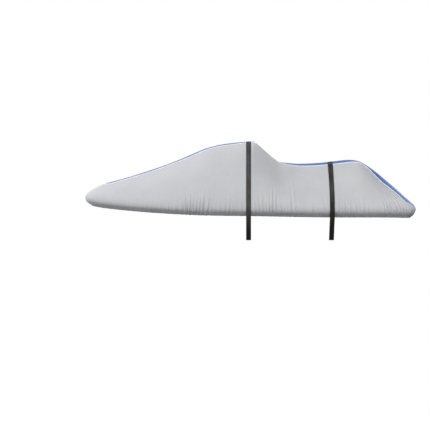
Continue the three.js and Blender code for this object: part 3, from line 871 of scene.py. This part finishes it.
def strapGrid(which, cloth):
    # lines of the strap's width, each the hull of the cloth under it: the points that reach
    # furthest in each direction of a fan, from one strap end over the top to the other
    offsets = np.linspace(-0.5, 0.5, straps["across"]) * straps["width"]
    away = cloth[:, 0] - strapsAt(cloth[:, 2])[:, which]
    atRail = strapsAt(straps["railHeight"])[which]
    rail = np.interp(atRail, sheerRows[:, 0], sheerRows[:, 1])
    lean = math.atan2(form["railHalf"] - straps["endHalf"], rail - straps["endHeight"])
    fan = np.linspace(math.pi + lean, -lean, straps["fan"])
    end = np.array([straps["endHalf"], straps["endHeight"]])
    lines = []
    for offset in offsets:
        near = cloth[np.abs(away - offset) < straps["slab"]][:, 1:]
        picked = near[np.argmax(near @ np.stack([np.cos(fan), np.sin(fan)]), axis=0)]
        moved = np.linalg.norm(np.diff(picked, axis=0), axis=1) > straps["apart"]
        line = np.vstack([end * (-1, 1), picked[np.concatenate([[True], moved])], end])
        walked = runningLength(line)
        lines.append(lookedUp(walked, line)(np.linspace(0, walked[-1], straps["steps"])))
    lines = np.stack(lines, 1)
    for _ in range(straps["smoothing"]):
        lines[1:-1] = (lines[:-2] + 2 * lines[1:-1] + lines[2:]) / 4
    x = strapsAt(lines[..., 1])[..., which] + offsets
    points = np.concatenate([x[..., None], lines], -1)
    points = points + gridNormals(points) * (straps["gap"] + straps["thickness"])
    walked = runningLength(points[:, straps["across"] // 2])[:, None] + 0 * offsets
    fromEnd = np.minimum(walked, walked[-1] - walked)
    return points, np.stack([offsets + 0 * walked, walked], -1), {"fromEnd": fromEnd}


# Stitching

stitching = {
    "pitch": 0.0062,
    "length": 0.0046,
    "radius": 0.00065,
    "sides": 5,
    "endSwell": 0.45,  # how thick a stitch is at its ends, where 1 is its middle
    "lift": 1.3,  # how far its middle stands above its ends, and how far it is sunk, in radii
    "sink": 0.9,
    "fromSeam": 0.006,
    "noseColumn": 4,  # the grid column 7.5 mm from the nose seam and from the rear edge
}


def lineAt(points, distance, wanted):
    # the line across a grid's columns where the distance, which grows along them, is the one wanted
    rows = np.arange(distance.shape[1], dtype=float)
    place = atLengths(distance, rows, np.full((len(points), 1), wanted))
    low = np.floor(place).astype(int)
    first = np.take_along_axis(points, low[..., None], 1)[:, 0]
    second = np.take_along_axis(points, low[..., None] + 1, 1)[:, 0]
    return first + (second - first) * (place - low)


def stitchRow(line):
    # the middles of stitches a pitch apart along a line, with the line's direction and its normal
    walked = runningLength(line[:, :3])
    at = lookedUp(walked, line)
    places = np.arange(stitching["pitch"], walked[-1], stitching["pitch"])
    half = stitching["length"] / 2
    along = unit(at(places + half)[:, :3] - at(places - half)[:, :3])
    return np.stack([at(places)[:, :3], along, at(places)[:, 3:]], 1)


def stitchMesh(rows):
    # every stitch is a short spindle of three rings lying on the cloth with its ends sunk in it
    middle, along, normal = np.moveaxis(np.concatenate(rows), 1, 0)[:, :, None, None]
    side = unit(np.cross(along, normal))
    ring = np.array((-1, 0, 1))[:, None, None]
    swell = np.where(ring == 0, 1, stitching["endSwell"])
    turn = (2 * math.pi * np.arange(stitching["sides"]) / stitching["sides"])[:, None]
    up = stitching["lift"] * swell - stitching["sink"] + swell * np.sin(turn)
    points = middle + along * ring * stitching["length"] / 2
    points = points + stitching["radius"] * (normal * up + side * swell * np.cos(turn))
    number = np.arange(points.size // 3).reshape(-1, 3, stitching["sides"])
    faces = tubeFaces(number).tolist() + number[:, 0, ::-1].tolist() + number[:, -1].tolist()
    return buildMesh("stitching_thread", points, faces, sharpFrom=80)


# Materials


def addNode(tree, kind, inputs=None, **settings):
    # a node whose inputs are given as values or as the sockets that feed them
    node = tree.nodes.new(kind)
    for name, value in settings.items():
        setattr(node, name, value)
    for name, value in (inputs or {}).items():
        if isinstance(value, bpy.types.NodeSocket):
            tree.links.new(value, node.inputs[name])
        else:
            node.inputs[name].default_value = value
    return node


def calc(tree, operation, *values):
    inputs = dict(enumerate(values))
    return addNode(tree, "ShaderNodeMath", inputs, operation=operation).outputs[0]


def fade(tree, value, low, high, atLow=0.0, atHigh=1.0):
    # a smooth change from one level to another as the value goes from low to high
    inputs = {"Value": value, "From Min": low, "From Max": high, "To Min": atLow, "To Max": atHigh}
    return addNode(tree, "ShaderNodeMapRange", inputs, interpolation_type="SMOOTHSTEP").outputs["Result"]


def blendColour(tree, factor, first, second, mode="MIX"):
    inputs = {0: factor, 6: first, 7: second}
    return addNode(tree, "ShaderNodeMix", inputs, data_type="RGBA", blend_type=mode).outputs[2]


def noise(tree, vector, scale, detail=3.0, roughness=0.5):
    inputs = {"Vector": vector, "Scale": scale, "Detail": detail, "Roughness": roughness}
    return addNode(tree, "ShaderNodeTexNoise", inputs).outputs["Fac"]


def stretched(tree, vector, x, y, z=1.0):
    inputs = {0: vector, 1: (x, y, z)}
    return addNode(tree, "ShaderNodeVectorMath", inputs, operation="MULTIPLY").outputs[0]


def scaled(tree, vector, factor):
    inputs = {0: vector, "Scale": factor}
    return addNode(tree, "ShaderNodeVectorMath", inputs, operation="SCALE").outputs[0]


def axes(tree, vector):
    return addNode(tree, "ShaderNodeSeparateXYZ", {0: vector}).outputs


def newGroup(name, numbers, outputs):
    # a group that takes a vector and the named numbers, and puts out a mask or a height for each name
    group = bpy.data.node_groups.new(name, "ShaderNodeTree")
    group.interface.new_socket("Vector", in_out="INPUT", socket_type="NodeSocketVector")
    for label, value in numbers.items():
        socket = group.interface.new_socket(label, in_out="INPUT", socket_type="NodeSocketFloat")
        socket.default_value = value
    for label in outputs:
        group.interface.new_socket(label, in_out="OUTPUT", socket_type="NodeSocketFloat")
    given = group.nodes.new("NodeGroupInput").outputs
    return group, given, group.nodes.new("NodeGroupOutput").inputs


def useGroup(tree, group, inputs):
    return addNode(tree, "ShaderNodeGroup", inputs, node_tree=group).outputs


def makeWeaveGroup():
    # threads over and under one another: the product of a wave along and a wave across, each half a
    # thread long, with every few threads a little thicker
    group, given, wanted = newGroup("threadWeave", {"Threads": 1200.0}, ["Height"])
    place = scaled(group, given["Vector"], given["Threads"])
    x, y, _ = axes(group, place)
    across, along = (calc(group, "SINE", calc(group, "MULTIPLY", part, math.pi)) for part in (x, y))
    weave = calc(group, "MULTIPLY", across, along)
    slub = noise(group, stretched(group, place, 0.02, 0.6), 1.0, 1.0)
    height = calc(group, "ADD", calc(group, "MULTIPLY", weave, 0.5), slub)
    group.links.new(height, wanted["Height"])
    return group


def makeMottleGroup():
    # large soft patches and small specks, for colour that isn't quite even
    group, given, wanted = newGroup("clothMottle", {"Scale": 1.0}, ["Patches", "Specks"])
    place = scaled(group, given["Vector"], given["Scale"])
    patches, specks = noise(group, place, 2.2, 4.0, 0.55), noise(group, place, 46.0, 3.0, 0.6)
    group.links.new(fade(group, patches, 0.32, 0.68), wanted["Patches"])
    group.links.new(fade(group, specks, 0.35, 0.75), wanted["Specks"])
    return group


def makeRubAndShadeGroup():
    # rubbing and dirt along an edge, and painted shade towards the hem: strongest at the edge, gone at
    # the reach, broken up by noise
    group, given, wanted = newGroup("edgeRubAndShade", {"Distance": 0.0, "Reach": 0.02}, ["Mask"])
    near = calc(group, "SUBTRACT", 1.0, calc(group, "DIVIDE", given["Distance"], given["Reach"]))
    near = calc(group, "POWER", calc(group, "MAXIMUM", near, 0.0), 1.5)
    broken = fade(group, noise(group, given["Vector"], 38.0, 4.0, 0.65), 0.3, 0.65, 0.35, 1.0)
    group.links.new(calc(group, "MULTIPLY", near, broken), wanted["Mask"])
    return group


def makeCrinkleGroup():
    # fine crinkles drawn out along one direction, as gathered cloth has between its larger folds
    group, given, wanted = newGroup("gatherCrinkle", {"Amount": 1.0}, ["Height"])
    fine = noise(group, stretched(group, given["Vector"], 150.0, 9.0), 1.0, 2.0, 0.5)
    broad = noise(group, stretched(group, given["Vector"], 52.0, 5.0), 1.0, 2.0, 0.5)
    both = calc(group, "MULTIPLY_ADD", fine, 0.4, broad)
    group.links.new(calc(group, "MULTIPLY", both, given["Amount"]), wanted["Height"])
    return group


# rub masks both wear along the seams and painted shade towards the hem
weave, mottle, rub, crinkle = makeWeaveGroup(), makeMottleGroup(), makeRubAndShadeGroup(), makeCrinkleGroup()


def newMaterial(name, roughness, specular, sheen=0.0):
    material = bpy.data.materials.new(name)
    material.use_nodes = True
    tree = material.node_tree
    tree.nodes.clear()
    shader = addNode(tree, "ShaderNodeBsdfPrincipled", {
        "Roughness": roughness,
        "Specular IOR Level": specular,
        "Sheen Weight": sheen,
        "Sheen Roughness": 0.45,
    })
    addNode(tree, "ShaderNodeOutputMaterial", {"Surface": shader.outputs[0]})
    return material, tree, shader


def objectPlace(tree):
    # where a point of the piece lies, in metres
    return addNode(tree, "ShaderNodeTexCoord").outputs["Object"]


def clothChart(tree):
    # how far it lies along and across the flat cloth, in metres
    return addNode(tree, "ShaderNodeUVMap", uv_map="cloth").outputs[0]


def mark(tree, name):
    return addNode(tree, "ShaderNodeAttribute", attribute_name=name).outputs["Fac"]


def rubbedAndShadedNear(tree, place, distance, reach):
    return useGroup(tree, rub, {"Vector": place, "Distance": distance, "Reach": reach})["Mask"]


def feed(tree, shader, name, value):
    tree.links.new(value, shader.inputs[name])


def addBump(tree, shader, height, strength, distance):
    inputs = {"Height": height, "Strength": strength, "Distance": distance}
    feed(tree, shader, "Normal", addNode(tree, "ShaderNodeBump", inputs).outputs[0])


coating = {
    "roughness": (0.64, 0.76),  # from one patch to another
    "insideRougher": 0.2,
    "inside": (0.46, 0.46, 0.455, 1),
    "speck": (0.30, 0.30, 0.31, 1),
    "specks": 0.05,
    "rubReach": 0.014,
    # how far up from the hem the painted shade and dirt reach
    "shadeAndSoilReach": 0.075,
    "hemEdgeShadeFade": (0.008, 0.016, 0.75, 0.0),  # painted shade where the hem rolls under: between which distances it fades, and the level at each
    "hemCrinkle": (0.0, 0.16, 1.0, 0.06),
    "seamCrinkle": (0.0, 0.03, 0.3, 0.0),
    "rearTop": (1.27, 1.42),  # x and z between which the slope down to the stern begins and ends
    "rearFoot": (-0.71, -0.65),
    "rearSide": (0.01, 0.07, 0.3, 1.0),
    "rearRoughness": 0.3,
    "threads": 1500.0,  # to the metre
    "threadDepth": 0.00005,
    "crinkleDepth": 0.0011,
}

cloths = {
    "greyCloth": {
        "specular": 0.3,
        "sheen": 0.0,
        "rub": 0.7,
        "colour": (0.545, 0.552, 0.578, 1),
        # the next two tones: painted shade towards the hem with some dirt, and painted shade at the
        # hem's edge
        "faded": (0.590, 0.594, 0.612, 1),
        "hemShadeAndSoil": (0.72, 0.73, 0.76, 1),
        "hemEdgeShade": (0.50, 0.50, 0.52, 1),
        "rubbed": (0.84, 0.84, 0.84, 1),
    },
    "blueCloth": {
        "specular": 0.12,
        "sheen": 0.03,
        "rearCoat": 0.3,
        # the slope down to the stern: a coat, and a paler tone below that is a painted highlight
        "rearPaintedHighlight": (0.10, 0.24, 0.66, 1),
        "rub": 0.35,
        "colour": (0.045, 0.135, 0.435, 1),
        "faded": (0.062, 0.165, 0.480, 1),
        # the next two tones: painted shade towards the hem with some dirt, and painted shade at the
        # hem's edge
        "hemShadeAndSoil": (0.45, 0.47, 0.55, 1),
        "hemEdgeShade": (0.50, 0.50, 0.55, 1),
        "rubbed": (0.12, 0.23, 0.52, 1),
    },
}


def clothMaterial(name):
    # coated polyester: a fine plain weave under a satin coating, a little faded in patches, darker
    # towards the hem with painted shade and some dirt from handling, darker still at the hem's edge with
    # painted shade, pale where the seams rub, with a dull coating inside
    tones = cloths[name]
    rough = coating["roughness"]
    material, tree, shader = newMaterial(name, rough[0], tones["specular"], tones["sheen"])
    place, chart = objectPlace(tree), clothChart(tree)
    fromSeam, fromHem, inside = (mark(tree, label) for label in ("fromSeam", "fromHem", "inside"))
    spots = useGroup(tree, mottle, {"Vector": place, "Scale": 1.0})
    wear = rubbedAndShadedNear(tree, place, fromSeam, coating["rubReach"])
    # painted shade towards the hem, with some dirt from handling
    shadeAndSoil = rubbedAndShadedNear(tree, place, fromHem, coating["shadeAndSoilReach"])
    colour = blendColour(tree, spots["Patches"], tones["colour"], tones["faded"])
    speckled = calc(tree, "MULTIPLY", spots["Specks"], coating["specks"])
    colour = blendColour(tree, speckled, colour, coating["speck"])
    colour = blendColour(tree, calc(tree, "MULTIPLY", wear, tones["rub"]), colour, tones["rubbed"])
    colour = blendColour(tree, shadeAndSoil, colour, tones["hemShadeAndSoil"], "MULTIPLY")
    # painted shade along the hem's edge, where the cloth rolls under
    edge = fade(tree, fromHem, *coating["hemEdgeShadeFade"])
    colour = blendColour(tree, edge, colour, tones["hemEdgeShade"], "MULTIPLY")
    colour = blendColour(tree, inside, colour, coating["inside"])
    if "rearCoat" in tones:
        # the slope down to the stern is painted paler, a painted highlight, and its coating shines where
        # it is seen edge-on
        x, _, z = axes(tree, place)
        top, foot = fade(tree, x, *coating["rearTop"]), fade(tree, z, *coating["rearFoot"])
        slope = calc(tree, "MULTIPLY", top, foot)
        slope = calc(tree, "MULTIPLY", slope, fade(tree, fromSeam, *coating["rearSide"]))
        colour = blendColour(tree, slope, colour, tones["rearPaintedHighlight"])
        feed(tree, shader, "Coat Weight", calc(tree, "MULTIPLY", slope, tones["rearCoat"]))
        shader.inputs["Coat Roughness"].default_value = coating["rearRoughness"]
    feed(tree, shader, "Base Color", colour)
    satin = fade(tree, spots["Patches"], 0.0, 1.0, *rough)
    feed(tree, shader, "Roughness", calc(tree, "MULTIPLY_ADD", inside, coating["insideRougher"], satin))
    threads = useGroup(tree, weave, {"Vector": chart, "Threads": coating["threads"]})["Height"]
    atHem = fade(tree, fromHem, *coating["hemCrinkle"])
    gathered = calc(tree, "ADD", atHem, fade(tree, fromSeam, *coating["seamCrinkle"]))
    ripples = useGroup(tree, crinkle, {"Vector": chart, "Amount": gathered})["Height"]
    ripples = calc(tree, "MULTIPLY", ripples, coating["crinkleDepth"])
    addBump(tree, shader, calc(tree, "MULTIPLY_ADD", threads, coating["threadDepth"], ripples), 1.0, 1.0)
    return material


tape = {
    "colour": (0.88, 0.88, 0.89, 1),
    "patch": (0.94, 0.94, 0.95, 1),
    "grime": (0.42, 0.42, 0.43, 1),
    "grimeShare": 0.16,
    "threads": 1600.0,
}


def pipingMaterial():
    # pale bias tape round a cord: mottled, a little grimy, its threads at a slant
    material, tree, shader = newMaterial("pipingTape", 0.5, 0.4, 0.5)
    spots = useGroup(tree, mottle, {"Vector": objectPlace(tree), "Scale": 2.0})
    colour = blendColour(tree, spots["Patches"], tape["colour"], tape["patch"])
    grime = calc(tree, "MULTIPLY", spots["Specks"], tape["grimeShare"])
    feed(tree, shader, "Base Color", blendColour(tree, grime, colour, tape["grime"]))
    inputs = {"Vector": clothChart(tree), "Rotation": (0, 0, math.radians(45))}
    turned = addNode(tree, "ShaderNodeMapping", inputs).outputs[0]
    threads = useGroup(tree, weave, {"Vector": turned, "Threads": tape["threads"]})["Height"]
    addBump(tree, shader, threads, 0.6, 0.0001)
    return material


webbing = {
    # near-black near the ends: painted shade
    "shaded": (0.006, 0.006, 0.006, 1),
    "faded": (0.058, 0.058, 0.056, 1),
    "rearStrapShaded": (0.024, 0.024, 0.023, 1),  # the rear strap is painted darker, a painted shade
    "between": (0.3, 0.6),  # x between the straps
    "endShadeReach": (0.05, 0.42),  # a strap is painted near-black, a painted shade, up to the first distance from its end, and fades to charcoal by the second
    "dust": (0.30, 0.29, 0.28, 1),
    "dustShare": 0.10,
    "threads": 700.0,
}


def webbingMaterial():
    # black webbing: a coarse weave, longer along the strap than across it, charcoal along its middle,
    # the rear strap darker with painted shade, and painted near-black near the ends, a painted shade
    # where it hangs below the cover's hem
    material, tree, shader = newMaterial("strapWebbing", 0.85, 0.2)
    place = objectPlace(tree)
    spots = useGroup(tree, mottle, {"Vector": place, "Scale": 3.0})
    clearOfEndShade = fade(tree, mark(tree, "fromEnd"), *webbing["endShadeReach"])
    # the rear strap is painted darker: painted shade
    rear = fade(tree, axes(tree, place)[0], *webbing["between"])
    faded = blendColour(tree, rear, webbing["faded"], webbing["rearStrapShaded"])
    # near-black near the ends: painted shade
    colour = blendColour(tree, clearOfEndShade, webbing["shaded"], faded)
    dusty = calc(tree, "MULTIPLY", calc(tree, "MULTIPLY", spots["Patches"], webbing["dustShare"]), clearOfEndShade)
    feed(tree, shader, "Base Color", blendColour(tree, dusty, colour, webbing["dust"]))
    drawnOut = stretched(tree, clothChart(tree), 1.0, 0.6)
    threads = useGroup(tree, weave, {"Vector": drawnOut, "Threads": webbing["threads"]})["Height"]
    addBump(tree, shader, threads, 0.8, 0.0005)
    return material


def threadMaterial():
    # twisted polyester thread, with a slight shine
    material, tree, shader = newMaterial("sewingThread", 0.42, 0.5)
    spots = useGroup(tree, mottle, {"Vector": objectPlace(tree), "Scale": 6.0})
    colour = blendColour(tree, spots["Specks"], (0.52, 0.52, 0.54, 1), (0.36, 0.36, 0.38, 1))
    feed(tree, shader, "Base Color", colour)
    return material


# The pieces


def addPiece(name, mesh, material, node=None):
    mesh.materials.append(material)
    piece = bpy.data.objects.new(name, mesh)
    bpy.context.scene.collection.objects.link(piece)
    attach(piece, "root")
    if node:
        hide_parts(node)


def addSidePanels(material):
    # the starboard panel is made like the port one, from other random draws, then mirrored across
    # the middle plane with its columns turned round, so that the face still points outwards
    grids = {}
    for seed, side, loose in ((7, "port", 0), (23, "starboard", 1)):
        points, chart, marks = sidePanelGrid(np.random.default_rng(seed), loose)
        if side == "starboard":
            points, chart = points[::-1] * (1, -1, 1), chart[::-1]
            marks = {label: values[::-1] for label, values in marks.items()}
        mesh = sheetMesh(f"side_cloth_{side}", points, hemThickness(marks["fromHem"]), chart, marks)
        addPiece(f"side_cloth_{side}", mesh, material, f"side_panel_{side}")
        grids[side] = points, marks
        print("side panel made:", side, len(mesh.polygons), "faces")
    return grids


def addTopPanel(material):
    points, chart, marks = topPanelGrid(np.random.default_rng(41))
    mesh = sheetMesh("top_cloth", points, hemThickness(marks["fromHem"]), chart, marks)
    addPiece("top_cloth", mesh, material, "top_panel")
    print("top panel made:", len(mesh.polygons), "faces")
    return points, marks


def addPiping():
    mesh = pipingMesh()
    addPiece("piping_cord", mesh, pipingMaterial(), "piping")
    print("piping made:", len(mesh.polygons), "faces")
    found = np.empty(len(mesh.vertices) * 3)
    mesh.vertices.foreach_get("co", found)
    return found.reshape(-1, 3)


def addStraps(cloth):
    material = webbingMaterial()
    for which, name in enumerate(straps["names"]):
        points, chart, marks = strapGrid(which, cloth)
        mesh = sheetMesh(f"{name}_webbing", points, straps["thickness"], chart, marks)
        addPiece(f"{name}_webbing", mesh, material, name)
        print("strap made:", name, len(mesh.polygons), "faces")


def addStitching(sides, top):
    # a row beside each seam on both panels, a row along the hem's band, and one beside the nose
    # seam and each rear edge
    lines, column, seam = [], stitching["noseColumn"], stitching["fromSeam"]
    for points, marks in sides.values():
        grid = np.concatenate([points, gridNormals(points)], -1)
        lines += [
            lineAt(grid, marks["fromSeam"], seam),
            lineAt(grid[:, ::-1], marks["fromHem"][:, ::-1], hem["band"]),
            grid[column, 3:-3],
            grid[-1 - column, 3:-3],
        ]
    points, marks = top
    grid = np.concatenate([points, gridNormals(points)], -1)
    first, middle = len(topPanel["frontRows"]), topPanel["across"] // 2
    for half in (slice(0, middle + 1), slice(-1, -middle - 2, -1)):
        lines.append(lineAt(grid[first:, half], marks["fromSide"][first:, half], seam))
    mesh = stitchMesh([stitchRow(line) for line in lines])
    addPiece("stitching_thread", mesh, threadMaterial())
    print("stitching made:", len(mesh.polygons), "faces")


sidePanels = addSidePanels(clothMaterial("greyCloth"))
topCloth = addTopPanel(clothMaterial("blueCloth"))
under = [sidePanels["port"][0], sidePanels["starboard"][0], topCloth[0], addPiping()]
addStraps(np.concatenate([points.reshape(-1, 3) for points in under]))
addStitching(sidePanels, topCloth)

# Floor, lights and background


def addFloor():
    # a pale floor under the cover, seen edge-on from the side and clear from below
    material, tree, shader = newMaterial("paleFloor", 0.9, 0.2)
    shader.inputs["Base Color"].default_value = (0.86, 0.86, 0.86, 1)
    output = next(node for node in tree.nodes if node.type == "OUTPUT_MATERIAL")
    clear = addNode(tree, "ShaderNodeBsdfTransparent").outputs[0]
    behind = addNode(tree, "ShaderNodeNewGeometry").outputs["Backfacing"]
    mixed = addNode(tree, "ShaderNodeMixShader", {0: behind, 1: shader.outputs[0], 2: clear})
    tree.links.new(mixed.outputs[0], output.inputs["Surface"])
    half, height = studio["floorSize"] / 2, cadLow.z - studio["floorBelow"]
    corners = [(x * half, y * half, height) for x, y in ((-1, -1), (1, -1), (1, 1), (-1, 1))]
    mesh = bpy.data.meshes.new("floor")
    mesh.from_pydata(corners, [], [(0, 1, 2, 3)])
    mesh.materials.append(material)
    floor = bpy.data.objects.new("floor", mesh)
    floor.visible_diffuse = False  # it doesn't light the cover from below
    bpy.context.scene.collection.objects.link(floor)


def addWorld():
    # white where the camera looks past the cover, and for the light a dark room with soft lights:
    # each falls off from its middle as a bell, and the room is mirrored from side to side
    world = bpy.data.worlds.new("studio")
    world.use_nodes = True
    tree = world.node_tree
    tree.nodes.clear()
    towards = addNode(tree, "ShaderNodeTexCoord").outputs["Generated"]
    x, y, z = axes(tree, towards)
    halved = {0: x, 1: calc(tree, "ABSOLUTE", y), 2: z}
    halved = addNode(tree, "ShaderNodeCombineXYZ", halved).outputs[0]
    total = 0.0
    for bow, rise, brightness, narrow in softLights:
        bow, rise = math.radians(bow), math.radians(rise)
        middle = (-math.sin(bow) * math.cos(rise), math.cos(bow) * math.cos(rise), math.sin(rise))
        dot = addNode(tree, "ShaderNodeVectorMath", {0: halved, 1: middle}, operation="DOT_PRODUCT")
        glow = calc(tree, "MULTIPLY_ADD", dot.outputs["Value"], narrow, -narrow)
        total = calc(tree, "MULTIPLY_ADD", calc(tree, "EXPONENT", glow), brightness, total)
    room = addNode(tree, "ShaderNodeBackground", {"Color": (1, 1, 1, 1), "Strength": total})
    white = addNode(tree, "ShaderNodeBackground", {"Color": (1, 1, 1, 1), "Strength": 1.0})
    seen = addNode(tree, "ShaderNodeLightPath").outputs["Is Camera Ray"]
    mixed = addNode(tree, "ShaderNodeMixShader", {0: seen, 1: room.outputs[0], 2: white.outputs[0]})
    addNode(tree, "ShaderNodeOutputWorld", {"Surface": mixed.outputs[0]})
    bpy.context.scene.world = world


addFloor()
addWorld()
bpy.context.scene.view_settings.view_transform = "Standard"
print("studio lit")
